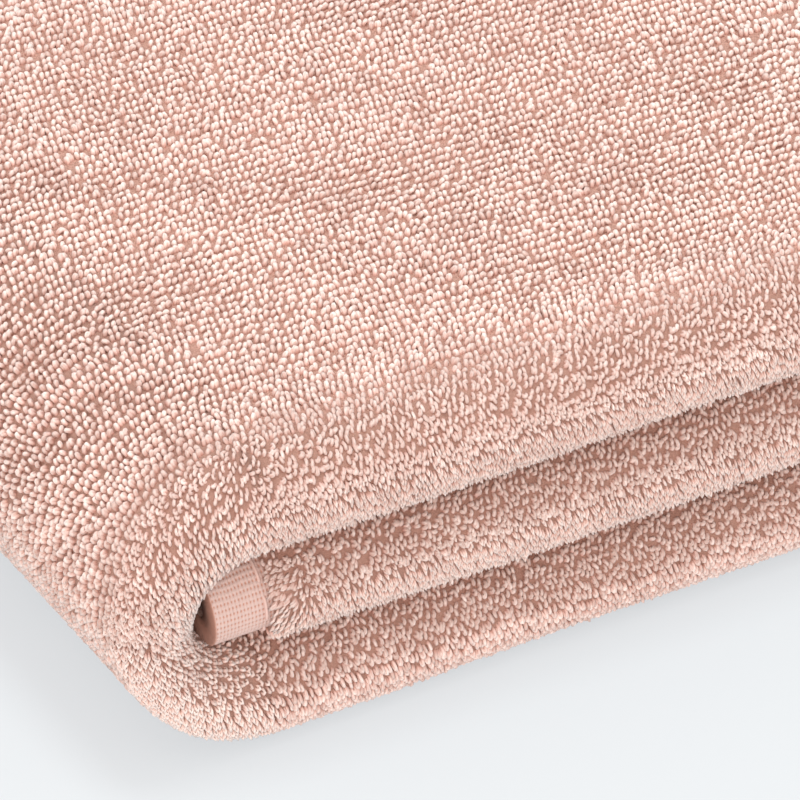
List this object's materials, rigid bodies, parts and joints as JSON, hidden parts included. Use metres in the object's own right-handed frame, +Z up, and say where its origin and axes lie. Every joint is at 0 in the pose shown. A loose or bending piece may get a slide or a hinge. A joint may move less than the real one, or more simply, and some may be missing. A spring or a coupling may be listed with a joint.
{
  "type": "folded bath towel",
  "caption": "Bath towel of looped cotton, folded in half lengthwise and then in three, with woven hems; its top panel opens out over the left turn.",
  "frame": {"origin": "middle of the underside of the folded towel", "axes": "+X along the folded strip, from the left turn that wraps the stack to the right turn; +Y away from the rounded lengthwise fold, towards the side hems; +Z up"},
  "size_m": [0.4746, 0.3512, 0.036],
  "materials": {
    "looped_cotton": "matte",
    "woven_hem": "matte",
    "sewing_thread": "matte"
  },
  "bodies": {
    "root": {"bottom_lower_layer": "looped_cotton", "bottom_upper_layer": "looped_cotton", "bottom_rounded_edge": "looped_cotton", "bottom_side_hems": "woven_hem", "bottom_side_stitching": "sewing_thread", "right_turn_outer_layer": "looped_cotton", "right_turn_inner_layer": "looped_cotton", "right_turn_rounded_edge": "looped_cotton", "right_turn_side_hems": "woven_hem", "right_turn_side_stitching": "sewing_thread", "middle_lower_layer": "looped_cotton", "middle_upper_layer": "looped_cotton", "middle_rounded_edge": "looped_cotton", "middle_side_hems": "woven_hem", "middle_side_stitching": "sewing_thread", "middle_end_hem": "woven_hem", "middle_end_stitching": "sewing_thread"},
    "left_turn": {"left_turn_outer_layer": "looped_cotton", "left_turn_inner_layer": "looped_cotton", "left_turn_rounded_edge": "looped_cotton", "left_turn_side_hems": "woven_hem", "left_turn_side_stitching": "sewing_thread"},
    "top_panel": {"top_lower_layer": "looped_cotton", "top_upper_layer": "looped_cotton", "top_rounded_edge": "looped_cotton", "top_side_hems": "woven_hem", "top_side_stitching": "sewing_thread", "top_end_hem": "woven_hem", "top_end_stitching": "sewing_thread"}
  },
  "joints": [
    {"name": "lower_bend", "type": "hinge", "parent": "root", "child": "left_turn", "pos_m": [-0.22889, 0, 0.00842], "axis": [0, -1, 0], "range_deg": [0, 90], "deforming": ["left_turn_outer_layer", "left_turn_inner_layer", "left_turn_rounded_edge", "left_turn_side_hems", "left_turn_side_stitching"]},
    {"name": "upper_bend", "type": "hinge", "parent": "left_turn", "child": "top_panel", "pos_m": [-0.22889, 0, 0.02758], "axis": [0, -1, 0], "range_deg": [0, 90]}
  ],
  "couplings": [
    {"joint": "upper_bend", "follows": "lower_bend", "ratio": 1}
  ]
}
